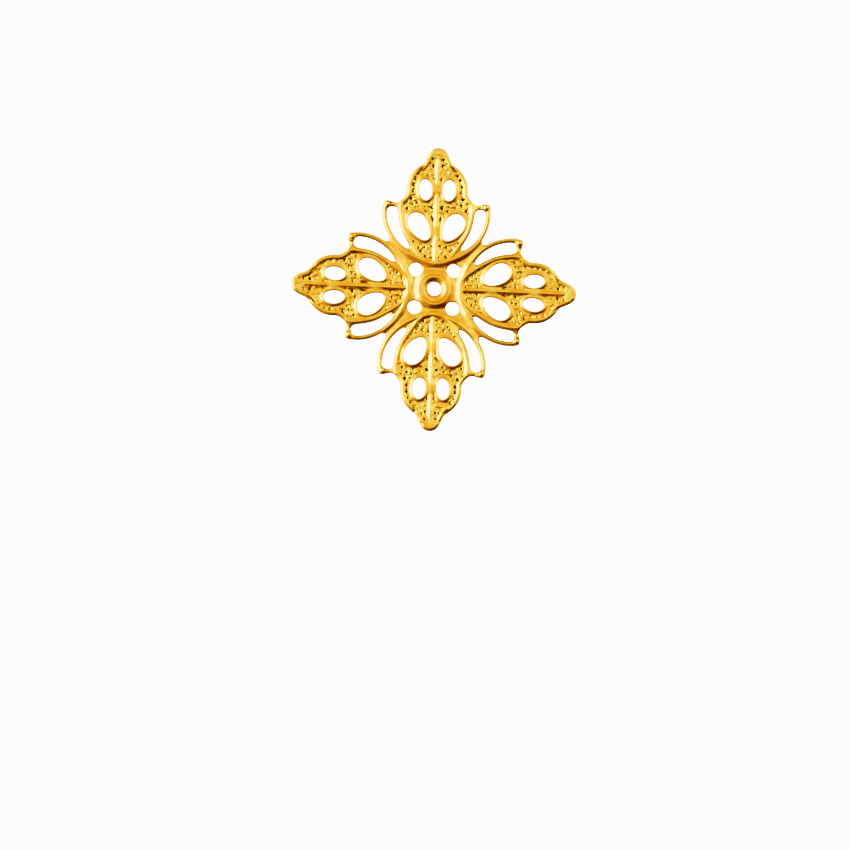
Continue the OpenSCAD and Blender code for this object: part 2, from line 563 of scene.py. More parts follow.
shown_edge = [row[:2] for row in OUTER_EDGE[:PETAL_ROWS_SHOWN]]
half_petal = np.array(shown_edge + HIDDEN_EDGE)
other_half = half_petal[-2:0:-1] * (-1, 1)
whole_petal = smooth(np.vstack([half_petal, other_half]), closed=True)
petal_edge = even(whole_petal, LINE_STEP, closed=True)
border = petal_edge - left_of(petal_edge, closed=True) * CREST_IN
rims = [even(oval(*shape), LINE_STEP, closed=True) for shape in (SMALL_OVAL, LARGE_OVAL)]
print("points on the border:", len(border), "and on the rims:", [len(rim) for rim in rims])

# %% Free strand
# Columns: x, y, half width towards the petal, half width away from it, top. The line runs
# from the petal's foot along the free strand to its knob.
STRAND = [
    (0.00, 3.20, 0.30, 0.57, 0.76),
    (0.90, 3.32, 0.30, 0.57, 0.76),
    (1.75, 3.62, 0.28, 0.57, 0.77),
    (2.55, 3.96, 0.28, 0.57, 0.77),
    (3.20, 4.28, 0.28, 0.56, 0.76),
    (4.10, 4.90, 0.30, 0.52, 0.73),
    (4.84, 5.55, 0.38, 0.46, 0.71),
    (5.41, 6.24, 0.42, 0.44, 0.70),
    (5.84, 7.00, 0.43, 0.43, 0.69),
    (6.15, 7.75, 0.43, 0.43, 0.69),
    (6.37, 8.60, 0.43, 0.43, 0.69),
    (6.46, 9.40, 0.44, 0.44, 0.70),
    (6.40, 9.95, 0.46, 0.46, 0.70),
    (6.20, 10.38, 0.46, 0.46, 0.64),
]

# Centre, radius and top of the small dome on the strand's end.
KNOB = ((6.12, 10.40), 0.52, 0.95)

strand = even(smooth(STRAND), LINE_STEP)
print("points on the strand:", len(strand))

# %% [markdown]
# ## Ground
#
# Between the lines lies ground of different heights. The web is lowest, the petal's
# grained field is a little higher, and a little higher again round the small ovals. The
# petal's tip is a smooth lobe.

# %% Ground
WEB_Z = 0.40
FIELD_Z = 0.44
UPPER_FIELD_Z = 0.48
UPPER_FIELD = (10.6, 11.8)
LOBE_Z = 0.72
LOBE_FROM, LOBE_TO = 15.5, 17.0


def ground_height(points, petal):
    """Height of the ground, where petal says how far each point lies in the petal."""
    y = points[:, 1]
    lobe = ramp(y, LOBE_FROM, LOBE_TO)
    field = FIELD_Z + (UPPER_FIELD_Z - FIELD_Z) * ramp(y, *UPPER_FIELD)
    return WEB_Z + (field - WEB_Z) * petal + (LOBE_Z - field) * lobe * petal


print("web", WEB_Z, "field", FIELD_Z, "to", UPPER_FIELD_Z, "lobe", LOBE_Z, "mm high")

# %% [markdown]
# ## Lines
#
# A struck line has a rounded back and a fairly sharp foot. On the strands, the knobs and
# the midrib the height falls with a power of the distance from the crest: a power of 2
# gives a round back, and a power near 1 gives a roof. The border and the rims have a
# different form on each side, so short tables of distance and height say how they fall.

# %% Border and rims
# Columns: distance inside the petal's edge, height. Outside the edge it falls to the web.
BORDER = [
    (-0.62, 0.14),
    (-0.50, 0.30),
    (-0.37, 0.43),
    (-0.19, 0.50),
    (0.00, 0.57),
    (0.12, 0.64),
    (0.23, 0.71),
    (0.34, 0.75),
    (0.46, 0.69),
    (0.59, 0.57),
    (0.71, 0.45),
    (0.82, 0.26),
]

# Columns: distance outside the oval's cut edge, height.
RIM = [
    (-0.10, 0.73),
    (0.02, 0.75),
    (0.09, 0.73),
    (0.18, 0.675),
    (0.30, 0.58),
    (0.42, 0.48),
    (0.54, 0.37),
    (0.68, 0.20),
]

# A rim's slope is steeper by this share on the side towards the eyelet.
RIM_NARROWS = 0.25


def profile(table, distance):
    """Height at each distance, read off a smooth curve through a table's rows."""
    curve = smooth(table)
    return np.interp(distance, curve[:, 0], curve[:, 1])


def rim_height(points, rim):
    """Height of the rim round one oval."""
    gap = -depth_inside(points, rim)
    reach = np.hypot(*(points - rim.mean(0)).T)
    below = np.clip((rim[:, 1].mean() - points[:, 1]) / reach, 0, 1)
    return profile(RIM, gap * (1 + RIM_NARROWS * below**2))


print("crest of the border at", max(row[1] for row in BORDER), "mm")

# %% Strand and knob
STRAND_POWER = 1.5
ROUND_POWER = 2.0


def line(distance, half_width, top, foot, power=ROUND_POWER):
    """Height of a raised line at a distance from its crest."""
    return top - (top - foot) * (distance / half_width) ** power


def strand_height(points):
    """Height of the strand's line, which falls faster on the side of the petal."""
    gap, row = nearest(points, strand)
    here = np.round(row).astype(int)
    side = ((points - strand[here, :2]) * left_of(strand)[here]).sum(1)
    to_petal, away, top = (np.interp(row, range(len(strand)), c) for c in strand.T[2:])
    return line(gap, np.where(side > 0, to_petal, away), top, WEB_Z, STRAND_POWER)


def knob_height(points):
    """Height of the small dome on the strand's end."""
    centre, radius, top = KNOB
    return line(np.hypot(*(points - centre).T), radius, top, WEB_Z)


print("knob", KNOB[2], "mm high")

# %% [markdown]
# The midrib is a low roof, and it fades out at both ends. Between each pair of ovals the
# ground rises to about the midrib's height and falls again, like a saddle.

# %% Midrib and saddles
MIDRIB_HALF_W = 0.42
MIDRIB_TOP = 0.74
MIDRIB_FOOT = 0.46
MIDRIB_POWER = 1.2
MIDRIB_FROM, MIDRIB_TO = 3.3, 16.8
MIDRIB_RISE, MIDRIB_FADE = 0.3, 0.8
MIDRIB_SINK = 0.3

# Columns: place on the midrib, half length, top. The middle of the length is level.
SADDLES = [
    (12.45, 1.45, 0.745),
    (7.20, 1.60, 0.69),
]
SADDLE_LEVEL = 0.12
SADDLE_HALF_W = 0.50
SADDLE_FADE = 0.5
SADDLE_BEND = 0.38


def on_midrib(y, rise, fade):
    """A 1 along the midrib, which falls smoothly to 0 at its foot and its tip."""
    return ramp(y, MIDRIB_FROM, MIDRIB_FROM + rise) * ramp(-y, -MIDRIB_TO, fade - MIDRIB_TO)


def midrib(points):
    """Height of the ridge along the petal's middle."""
    x, y = points.T
    ridge = line(np.abs(x), MIDRIB_HALF_W, MIDRIB_TOP, MIDRIB_FOOT, MIDRIB_POWER)
    return ridge - MIDRIB_SINK * (1 - on_midrib(y, MIDRIB_RISE, MIDRIB_FADE))


def saddles(points):
    """Height of the ground between the ovals, where it rises to the midrib."""
    x, y = points.T
    z = np.full(len(points), FIELD_Z)
    for place, length, top in SADDLES:
        along = 1 - ramp(np.abs(y - place), SADDLE_LEVEL * length, length)
        across = 1 - ramp(np.abs(x), SADDLE_HALF_W, SADDLE_HALF_W + SADDLE_FADE)
        z += (top - SADDLE_BEND * x * x - FIELD_Z) * along * across
    return z


print("midrib", MIDRIB_TOP, "mm high, with", len(SADDLES), "saddles")

# %% [markdown]
# ## The eyelet
#
# The eyelet is a ring that the punch drew up from the hub. A countersink rises from the
# hole to its crest, a steep wall with a sharp lip falls outside it, and a lower shoulder
# leads down to the hub. The shoulder's foot is drawn out towards a square, because the
# four small holes stand at its corners. The other lines sink as they come near, so that
# the eyelet's own table sets every height in the hub.

# %% Eyelet
# Columns: radius, height. From the edge of the hole over the ring to the hub.
EYELET = [
    (0.84, 0.68),
    (1.00, 0.80),
    (1.15, 0.94),
    (1.28, 1.05),
    (1.40, 1.11),
    (1.50, 1.13),
    (1.59, 1.12),
    (1.61, 1.07),
    (1.64, 0.95),
    (1.68, 0.83),
    (1.72, 0.80),
    (1.78, 0.86),
    (1.87, 0.89),
    (1.97, 0.87),
    (2.08, 0.81),
    (2.21, 0.70),
    (2.34, 0.58),
    (2.46, 0.49),
    (2.60, 0.43),
    (2.78, 0.41),
    (2.94, 0.39),
    (3.08, 0.33),
    (3.26, 0.22),
]
SQUARE_FROM, SQUARE_TO = 1.9, 2.6
SQUARE_SHARE = 0.42
HUB_DROP = 0.1
HUB_EDGE = (2.3, 3.0)


def eyelet_radius(points):
    """Distance from the centre, growing squarer towards the eyelet's foot."""
    x, y = np.abs(points).T
    r = np.hypot(x, y)
    square = (x**4 + y**4) ** 0.25
    return r + (square - r) * ramp(r, SQUARE_FROM, SQUARE_TO) * SQUARE_SHARE


print("crest of the eyelet at", max(row[1] for row in EYELET), "mm")

# %% Height of the struck face
FIELD_STARTS = (0.1, 0.4)


def struck_face(points):
    """Height of the face, before the grain is struck into it."""
    depth = depth_inside(points, petal_edge)
    petal = ramp(depth, *FIELD_STARTS)
    z = ground_height(points, petal)
    z = join(z, profile(BORDER, depth))
    z = join(z, strand_height(points))
    z = join(z, knob_height(points))
    for rim in rims:
        z = join(z, rim_height(points, rim))
    z = join(z, saddles(points) * petal, SMALL_FILLET)
    z = join(z, midrib(points), SMALL_FILLET)
    z -= HUB_DROP * (1 - ramp(np.hypot(*points.T), *HUB_EDGE))
    return join(z, profile(EYELET, eyelet_radius(points)), SMALL_FILLET)


print("height at a petal's middle:", struck_face(np.array([[0.0, 10.0]])).round(3), "mm")

# %% [markdown]
# ## The back
#
# The back follows the face, softer and shallower, as it does on every struck sheet: a
# shallow groove runs under each raised line, and the eyelet is hollow beneath. The rest
# of the back is flat and lies on the table.

# %% Height of the back
GROOVE_Z = 0.12
GROOVE_HALF_W = 0.19
RIB_GROOVE_HALF_W = MIDRIB_HALF_W * 0.8
RIB_GROOVE_RISE, RIB_GROOVE_FADE = 0.6, 0.9

# Columns: radius, height. Under the eyelet, from the hole outward.
EYELET_HOLLOW = [
    (0.84, 0.30),
    (1.05, 0.36),
    (1.30, 0.52),
    (1.50, 0.68),
    (1.62, 0.70),
    (1.76, 0.58),
    (1.92, 0.26),
    (2.06, 0.06),
    (2.20, 0.00),
]


def back_face(points):
    """Height of the underside above the table."""
    x, y = points.T
    z = np.zeros(len(points))
    for path, closed in ((border, True), (strand, False)):
        gap, _ = nearest(points, path, closed)
        z = np.maximum(z, line(gap, GROOVE_HALF_W, GROOVE_Z, 0.0))
    under_rib = line(np.abs(x), RIB_GROOVE_HALF_W, GROOVE_Z, 0.0)
    z = np.maximum(z, under_rib * on_midrib(y, RIB_GROOVE_RISE, RIB_GROOVE_FADE))
    return np.maximum(z, profile(EYELET_HOLLOW, np.hypot(x, y)))


print("grooves under the lines are", GROOVE_Z, "mm deep")

# %% [markdown]
# ## Triangles for one eighth
#
# Mirrors show every flaw, so the triangles have to follow the lines. Rows of points are
# laid along each crest and beside it, and the ground between is filled from a honeycomb,
# finer in the grained field than on the smooth web. Points too close to one already kept
# are dropped. A constrained Delaunay triangulation then joins them, and the triangles
# whose middle lies in an opening are left out.
#
# The face stops short of the cut edge by its rounding, and the back by a part of it. The
# wall between them bends over, runs straight, and draws in a little at the back.

# %% Loops round one eighth
# Columns: share of the wall's height, share of the rounding that the edge is drawn in.
WALL_ROWS = [
    (1.00, 1.0),
    (0.92, 0.6),
    (0.81, 0.28),
    (0.66, 0.0),
    (0.25, 0.0),
    (0.00, 0.4),
]


def moved_in(edge, share):
    """The points of a cut edge, drawn in by a share of its rounding."""
    return edge["points"] - edge["air"] * edge["rounding"] * share


def seam(start, end, step, radii):
    """Points from one place outward to another, the first of them at these radii."""
    reach = math.hypot(*end) - step / 2
    rows = [start] + [end / math.hypot(*end) * r for r in radii if r < reach]
    return np.vstack([*rows[:-1], even(np.array([rows[-1], end]), step)])


def eighth_loops(share, step, radii=()):
    """The closed loops round one eighth, with points along its two seams."""
    outer, hole, eyelet = (moved_in(c, share) for c in (outer_edge, hole_edge, eyelet_edge))
    notch_to_hole = even(np.array([outer[-1], hole[0]]), step)
    hole_to_eyelet = seam(eyelet[0], hole[-1], step, radii)[::-1]
    eyelet_to_tip = seam(eyelet[-1], outer[0], step, radii)
    parts = [outer, notch_to_hole[1:-1], hole, hole_to_eyelet[1:-1], eyelet, eyelet_to_tip[1:-1]]
    return [np.vstack(parts), *(moved_in(c, share) for c in openings)]


print("each wall has", len(WALL_ROWS), "rows of points")

# %% Patterns of points
# The box that the honeycomb fills, a little larger than one eighth.
LOWEST_Y, HIGHEST_Y, WIDEST_X = 0.4, 18.0, 7.2


def honeycomb(pitch):
    """Points in even triangles over the whole eighth and a little more."""
    rise = pitch * math.sqrt(3) / 2
    points = []
    for k, y in enumerate(np.arange(LOWEST_Y, HIGHEST_Y, rise)):
        x = np.arange(pitch / 2 * (k % 2), WIDEST_X, pitch)
        points.append(np.column_stack([x, np.full(len(x), y)]))
    return np.vstack(points)


def beside(path, offsets, step, closed=False):
    """Rows of points along a path, each at an offset to its left."""
    spaced = even(path[:, :2], step, closed)
    sides = left_of(spaced, closed)
    return np.vstack([spaced + sides * offset for offset in offsets])


def on_metal(points, loops, margin):
    """The points that lie on the metal, and not right at an edge or a seam."""
    points = points[inside(points, loops)]
    clear = np.full(len(points), np.inf)
    for loop in loops:
        clear = np.minimum(clear, nearest(points, loop, closed=True)[0])
    return points[clear > margin]


print("honeycomb over", WIDEST_X, "by", HIGHEST_Y, "mm")

# %% Layers of points
# Points are sorted into square cells, wider than any gap, so that a new one is compared
# only with its neighbours.
CELL = 0.2


def spread(kept, wanted, gap):
    """Adds the wanted points that are at least a gap away from every point kept so far."""
    cells = {}
    for p in kept:
        cells.setdefault((int(p[0] // CELL), int(p[1] // CELL)), []).append(tuple(p))
    added = []
    for x, y in wanted:
        i, j = int(x // CELL), int(y // CELL)
        close = (
            (x - u) ** 2 + (y - v) ** 2 < gap * gap
            for a in (i - 1, i, i + 1)
            for b in (j - 1, j, j + 1)
            for u, v in cells.get((a, b), ())
        )
        if not any(close):
            cells.setdefault((i, j), []).append((x, y))
            added.append((x, y))
    return np.vstack([kept, np.array(added)]) if added else kept


def layered(loops, layers):
    """Points inside the loops, taken layer by layer where there is still room."""
    on_loops = np.vstack(loops)
    kept = on_loops
    for points, margin, gap in layers:
        kept = spread(kept, on_metal(points, loops, margin), gap)
    return kept[len(on_loops):]


print("cells of", CELL, "mm")

# %% Fill with triangles
SAME_PLACE = 1e-7
LEAST_AREA = 1e-9


def fill(loops, points):
    """Triangles over the ground inside the loops, through these points."""
    everything = np.vstack([*loops, points])
    edges = []
    first = 0
    for loop in loops:
        n = len(loop)
        edges += [(first + i, first + (i + 1) % n) for i in range(n)]
        first += n
    vectors = [Vector(p) for p in everything]
    _, _, faces, origin, _, _ = delaunay_2d_cdt(vectors, edges, [], 0, SAME_PLACE)
    number = np.array([ids[0] for ids in origin])
    triangles = number[np.array([f for f in faces if len(f) == 3])]
    a, b, c = (everything[triangles[:, k]] for k in range(3))
    area = (b[:, 0] - a[:, 0]) * (c[:, 1] - a[:, 1]) - (b[:, 1] - a[:, 1]) * (c[:, 0] - a[:, 0])
    triangles[area < 0] = triangles[area < 0][:, ::-1]
    solid = inside((a + b + c) / 3, loops) & (np.abs(area) > LEAST_AREA)
    return everything, triangles[solid]


print("least triangle:", LEAST_AREA, "square mm")

# %% Face of one eighth
ROW_STEP = 0.09
FIELD_PITCH = 0.078
WEB_PITCH = 0.115
LIP_R = 1.59
RING_ROWS = [1.50, LIP_R, 1.64, 1.68, 1.72, 1.78]
EYELET_ROWS = [*np.arange(0.96, 1.45, ROW_STEP), *RING_ROWS, *np.arange(1.87, 2.8, ROW_STEP)]
MIDRIB_LINE = np.array([(0, 3.0), (0, 17.3)])

# An offset is positive on the left of a path: outside the border, on the petal's side of
# the strand and inside an oval.
face_loops = eighth_loops(WALL_ROWS[0][1], ROW_STEP, EYELET_ROWS)
eyelet_rows = np.vstack([arc((0, 0), r, 45, 90, ROW_STEP) for r in EYELET_ROWS])
crest_rows = np.vstack([
    beside(border, ROW_STEP * np.arange(2, -5, -1), ROW_STEP, closed=True),
    beside(strand, ROW_STEP * np.arange(3, -5, -1), ROW_STEP),
    *(beside(rim, -ROW_STEP * np.arange(1, 6), ROW_STEP, closed=True) for rim in rims),
    beside(MIDRIB_LINE, -ROW_STEP * np.arange(1, 5), ROW_STEP),
])
field_points = honeycomb(FIELD_PITCH)
field_points = field_points[inside(field_points, [border]) & (field_points[:, 1] < LOBE_TO)]

# Columns: points, least distance from an edge or a seam, least gap between two points.
face_layers = [
    (eyelet_rows, 0.04, 0.037),
    (crest_rows, 0.05, 0.06),
    (field_points, 0.05, 0.058),
    (honeycomb(WEB_PITCH), 0.06, 0.085),
]
face_xy, face_triangles = fill(face_loops, layered(face_loops, face_layers))
print("face of one eighth:", len(face_xy), "points,", len(face_triangles), "triangles")

# %% Back of one eighth
BACK_STEP = 0.14
BACK_PITCH = 0.18
GROOVE_ROWS = np.array([0, 1, -1]) * 0.15
HOLLOW_ROWS = np.arange(1.0, 2.4, 0.12)

back_loops = eighth_loops(WALL_ROWS[-1][1], BACK_STEP)
back_rows = np.vstack([
    beside(border, GROOVE_ROWS, BACK_STEP, closed=True),
    beside(strand, GROOVE_ROWS, BACK_STEP),
    beside(MIDRIB_LINE, [-BACK_STEP], BACK_STEP),
    *(arc((0, 0), r, 45, 90, BACK_STEP) for r in HOLLOW_ROWS),
])
back_layers = [
    (back_rows, 0.08, 0.11),
    (honeycomb(BACK_PITCH), 0.09, 0.13),
]
back_xy, back_triangles = fill(back_loops, layered(back_loops, back_layers))
print("back of one eighth:", len(back_xy), "points,", len(back_triangles), "triangles")

# %% [markdown]
# The wall of each cut edge is a strip of quads between the face and the back. The face
# and the back were filled from the same chains, so the strip's first row is simply the
# face's own edge points and its last row is the back's.

# %% Walls of the cut edges
def matching(points, targets):
    """For each target, the number of the point at the same place."""
    number = {tuple(p): i for i, p in enumerate(np.round(points, 9))}
    return np.array([number[tuple(p)] for p in np.round(targets, 9)])


wall_rows = []
wall_quads = []
n_face, n_back = len(face_xy), len(back_xy)
for c in chains:
    count = len(c["points"])
    top = matching(face_xy, moved_in(c, WALL_ROWS[0][1]))
    bottom = matching(back_xy, moved_in(c, WALL_ROWS[-1][1]))
    rows = [top]
    for share, inward in WALL_ROWS[1:-1]:
        start = n_face + n_back + sum(len(row[0]) for row in wall_rows)
        wall_rows.append((moved_in(c, inward), top, bottom, np.full(count, share)))
        rows.append(start + np.arange(count))
    rows.append(n_face + bottom)
    last = count if c["closed"] else count - 1
    for upper, lower in zip(rows, rows[1:]):
        for i in range(last):
            j = (i + 1) % count
            wall_quads.append((upper[i], upper[j], lower[j], lower[i]))
wall_xy, wall_face, wall_back, wall_share = map(np.concatenate, zip(*wall_rows))
print("wall quads of one eighth:", len(wall_quads))

# %% [markdown]
# ## The grain
#
# The petals' field is struck with small pits and beads. The die's pattern is the same on
# each petal, but every blow lands a little differently, so each of the eight copies
# moves, turns, sizes and deepens its marks by a small random amount. The random numbers
# start from a fixed seed, so the piece comes out the same every time.

# %% Pits
# Columns: x, y, half length, half width, lean in degrees, depth.
PITS = [
    (0.68, 16.20, 0.24, 0.13, 0, 0.20),
    (0.63, 15.42, 0.22, 0.18, 80, 0.22),
    (1.06, 15.62, 0.17, 0.14, 0, 0.14),
    (1.90, 15.14, 0.80, 0.13, -42, 0.20),
    (2.50, 14.25, 0.20, 0.17, 0, 0.17),
    (2.81, 13.63, 0.19, 0.16, 0, 0.18),
    (3.00, 12.88, 0.19, 0.17, 0, 0.20),
    (3.00, 12.13, 0.19, 0.17, 0, 0.20),
    (0.47, 13.75, 0.30, 0.14, 72, 0.16),
    (1.25, 14.05, 0.16, 0.13, 0, 0.10),
    (3.25, 11.25, 0.28, 0.20, -20, 0.22),
    (3.06, 10.50, 0.20, 0.16, 0, 0.17),
    (2.50, 10.75, 0.20, 0.15, 0, 0.15),
    (3.85, 10.69, 0.17, 0.15, 0, 0.14),
    (3.69, 9.88, 0.20, 0.17, 0, 0.17),
    (0.63, 10.13, 0.24, 0.20, 30, 0.21),
    (1.38, 9.75, 0.20, 0.15, 20, 0.18),
    (1.50, 10.30, 0.15, 0.13, 0, 0.13),
    (2.25, 10.20, 0.15, 0.12, 0, 0.10),
    (2.95, 9.75, 0.14, 0.12, 0, 0.09),
    (0.52, 8.75, 0.50, 0.13, 74, 0.14),
    (0.95, 9.10, 0.13, 0.11, 0, 0.10),
    (2.75, 5.88, 0.18, 0.14, 45, 0.14),
    (1.34, 5.19, 0.19, 0.16, 0, 0.17),
    (0.52, 5.36, 0.18, 0.16, 0, 0.16),
    (1.81, 4.69, 0.18, 0.14, 20, 0.16),
    (2.06, 5.05, 0.16, 0.14, 0, 0.16),
    (1.25, 4.08, 0.22, 0.17, 0, 0.19),
    (0.45, 3.92, 0.16, 0.13, 0, 0.13),
]
print(len(PITS), "pits on half a petal")

# %% Beads
# Columns: x, y, half length, half width, lean in degrees, height.
BEADS = [
    (1.03, 15.13, 0.17, 0.15, 0, 0.12),
    (1.44, 14.56, 0.17, 0.15, 0, 0.12),
    (0.81, 14.42, 0.17, 0.14, 0, 0.10),
    (2.02, 14.45, 0.14, 0.12, 0, 0.08),
    (2.72, 13.98, 0.24, 0.13, 40, 0.10),
    (2.96, 13.25, 0.26, 0.13, 15, 0.12),
    (3.00, 12.50, 0.26, 0.13, 0, 0.12),
    (3.00, 11.78, 0.26, 0.13, -10, 0.12),
    (2.75, 11.08, 0.17, 0.15, 0, 0.13),
    (3.42, 10.78, 0.17, 0.15, 0, 0.13),
    (3.80, 10.22, 0.16, 0.14, 0, 0.12),
    (2.63, 10.32, 0.17, 0.15, 0, 0.13),
    (1.87, 10.42, 0.17, 0.15, 0, 0.12),
    (1.05, 10.35, 0.16, 0.14, 0, 0.11),
    (0.86, 9.53, 0.16, 0.14, 0, 0.11),
    (3.30, 9.95, 0.15, 0.13, 0, 0.10),
    (0.94, 5.27, 0.17, 0.14, 0, 0.13),
    (1.66, 5.22, 0.15, 0.13, 0, 0.12),
    (0.73, 4.66, 0.17, 0.14, 0, 0.14),
    (1.38, 4.60, 0.16, 0.14, 0, 0.13),
    (0.82, 4.05, 0.16, 0.14, 0, 0.12),
    (2.25, 5.44, 0.14, 0.12, 0, 0.09),
]

# A bead is a pit of minus depth.
GRAIN = PITS + [(*row[:-1], -row[-1]) for row in BEADS]
print(len(BEADS), "beads on half a petal")

# %% [markdown]
# An eighth is mirrored or not, and turned by none to three quarters. Adding 0.0 to the
# placed points turns each minus zero into a zero, so that equal places compare equal.

# %% Eight copies of the marks
EIGHTHS = [(mirror, turn) for turn in range(4) for mirror in (1, -1)]
QUARTER_TURN = np.array([[0.0, -1.0], [1.0, 0.0]])

# How hard the blow fell on each petal: top, left, bottom, right.
BLOWS = (1.0, 0.7, 0.9, 0.6)

# Between these heights the pits stand in a row along the border, and a weak blow loses
# that row first.
ROW_FROM, ROW_TO = 11.9, 14.3
GRAIN_SEED = 11
SHIFT = 0.045
SIZES = (0.9, 1.35)
TURNS = (-18, 18)
STRENGTHS = (0.7, 1.2)


def placed(points, mirror, turn):
    """Points of the first eighth, mirrored and turned into one of the eight places."""
    moved = points * (mirror, 1)
    for _ in range(turn):
        moved = moved @ QUARTER_TURN.T
    return moved + 0.0


def struck_marks():
    """Every pit and bead on the stamping, as centre, two radii, angle and depth."""
    luck = np.random.RandomState(GRAIN_SEED)
    marks = []
    for mirror, turn in EIGHTHS:
        for x, y, half_l, half_w, lean, depth in GRAIN:
            shift = luck.uniform(-SHIFT, SHIFT, 2)
            size = luck.uniform(*SIZES, 2)
            lean = lean + luck.uniform(*TURNS)
            strength = luck.uniform(*STRENGTHS) * BLOWS[turn]
            if ROW_FROM < y < ROW_TO and depth > 0:
                strength *= BLOWS[turn] ** 2
            centre = placed(np.array([[x, y]]) + shift, mirror, turn)[0]
            angle = math.radians((90 - mirror * (90 - lean)) + 90 * turn)
            marks.append((centre, half_l * size[0], half_w * size[1], angle, depth * strength))
    return marks


marks = struck_marks()
print(len(marks), "marks on eight half petals")

# %% [markdown]
# Struck metal is never quite flat either, so the face also gets two sums of shallow
# waves: long ones everywhere, and short ones on the ground of the petals.

# %% Strike and unevenness
MARK_POWER = 1.5
# Depth from which a pit's painted shade is at its darkest.
PIT_SHADE_DEPTH = 0.07


def strike(points, z, marks, room):
    """The heights after the marks are struck, and how dark the painted shade at each point is.

    Room says how much of a mark can show at each point, from 0 to 1.
    """
    z = z.copy()
    pit = np.zeros(len(z))
    for centre, half_l, half_w, angle, depth in marks:
        near = np.flatnonzero(np.abs(points - centre).max(1) < max(half_l, half_w))
        off = points[near] - centre
        u = (off[:, 0] * math.cos(angle) + off[:, 1] * math.sin(angle)) / half_l
        v = (off[:, 1] * math.cos(angle) - off[:, 0] * math.sin(angle)) / half_w
        fade = np.clip(1 - u * u - v * v, 0, 1) ** MARK_POWER * room[near]
        z[near] -= depth * fade
        # Each pit also paints shade into the colour, darkest at its deepest middle.
        pit[near] = np.maximum(pit[near], fade * depth / PIT_SHADE_DEPTH)
    return z, pit


def uneven(points, count, height, shortest, longest, seed):
    """A shallow unevenness, the sum of a few waves in random directions."""
    luck = np.random.RandomState(seed)
    z = np.zeros(len(points))
    for _ in range(count):
        angle, phase = luck.uniform(0, 2 * math.pi, 2)
        length = luck.uniform(shortest, longest)
        run = points @ np.array([math.cos(angle), math.sin(angle)])
        z += height * length * np.sin(2 * math.pi * run / length + phase)
    return z


print("a pit is fully brown from", PIT_SHADE_DEPTH, "mm down")

# %% [markdown]
# ## The whole sheet
#
# The eighth is now mirrored and turned into its eight places. The heights are worked out
# once for the eighth, because it repeats, and only the grain and the waves are added copy
# by copy. The rims of the ovals were pressed smooth, so the grain and the short waves
# fade out beside them.

# %% Where the grain and the waves go
# Pairs of distances in millimetres, between which something fades in.
GRAIN_OFF_RIM = (0.26, 0.46)
WAVES_OFF_RIM = (0.36, 0.58)
WAVES_OFF_EDGE = (0.35, 0.8)
WAVES_ON_TIP = (15.6, 16.4)
TIP_SHARE = 0.6

# Height from which the face is a line, and no longer ground.
RAISED_Z = 0.64

face_z = struck_face(face_xy)
rim_gap = -np.max([depth_inside(face_xy, rim) for rim in rims], axis=0)
grain_room = ramp(rim_gap, *GRAIN_OFF_RIM)
wave_room = ramp(depth_inside(face_xy, petal_edge), *WAVES_OFF_EDGE)
wave_room *= 1 - ramp(face_z, UPPER_FIELD_Z, RAISED_Z)
wave_room *= ramp(rim_gap, *WAVES_OFF_RIM)
wave_room = np.maximum(wave_room, TIP_SHARE * ramp(face_xy[:, 1], *WAVES_ON_TIP))
print("points on uneven ground:", int((wave_room > 0).sum()), "of", len(face_xy))

# %% Raise and copy
# Least thickness of metal that a groove leaves.
THINNEST = 0.14

# Painted shade on the cut edges: the top of each edge is a little brown, and its wall is
# nearly all brown below this share of its height.
EDGE_SHADE = 0.30
WALL_SHADE = 0.9
WALL_TOP = 0.8

# Columns: number of waves, height for its length, shortest, longest, seed.
LONG_WAVES = (14, 0.0022, 0.7, 3.0, 12)
GROUND_WAVES = (20, 0.0140, 0.36, 0.85, 13)

back_z = back_face(back_xy)
under_face = back_face(face_xy)
eighth_faces = [tuple(t) for t in face_triangles]
eighth_faces += [tuple(n_face + t[::-1]) for t in back_triangles]
eighth_faces += wall_quads

corners = []
pits = []
faces = []
for mirror, turn in EIGHTHS:
    face_here = placed(face_xy, mirror, turn)
    z_face, pit = strike(face_here, face_z, marks, grain_room)
    z_face += uneven(face_here, *LONG_WAVES) + uneven(face_here, *GROUND_WAVES) * wave_room
    z_face = np.maximum(z_face, under_face + THINNEST)
    z_wall = back_z[wall_back] + (z_face[wall_face] - back_z[wall_back]) * wall_share
    first = sum(len(part) for part in corners)
    xy = np.vstack([face_here, placed(back_xy, mirror, turn), placed(wall_xy, mirror, turn)])
    corners.append(np.column_stack([xy, np.concatenate([z_face, back_z, z_wall])]))
    # Painted shade on the tops of the cut edges and on their walls.
    pit[wall_face] = np.maximum(pit[wall_face], EDGE_SHADE)
    on_wall = np.where(wall_share > WALL_TOP, 0.0, WALL_SHADE)
    pits.append(np.concatenate([pit, np.zeros(n_back), on_wall]))
    for corner_numbers in eighth_faces:
        ordered = corner_numbers if mirror == 1 else corner_numbers[::-1]
        faces.append([first + i for i in ordered])
corners = np.vstack(corners)
pits = np.concatenate(pits)
print("before welding:", len(corners), "points and", len(faces), "faces")

# %% [markdown]
# Points on the seams come out twice at exactly the same place, so they are welded by
# comparing their coordinates. The ring's lip stays a sharp edge, because smooth shading
# would blur the thin dark line round the ring.

# %% Weld the seams
WELD_DIGITS = 6

_, keep, new_number = np.unique(
    np.round(corners, WELD_DIGITS), axis=0, return_index=True, return_inverse=True
)
new_number = new_number.ravel()
corners = corners[keep]
pits = pits[keep]
faces = [tuple(int(new_number[i]) for i in f) for f in faces]
faces = [f for f in faces if len(set(f)) == len(f)]
print("after welding:", len(corners), "points and", len(faces), "faces")

# %% Make the mesh
# A point is on the lip when it has its radius and lies above the hollow of the back.
LIP_MARGIN = 1e-4
HOLLOW_TOP = 0.72

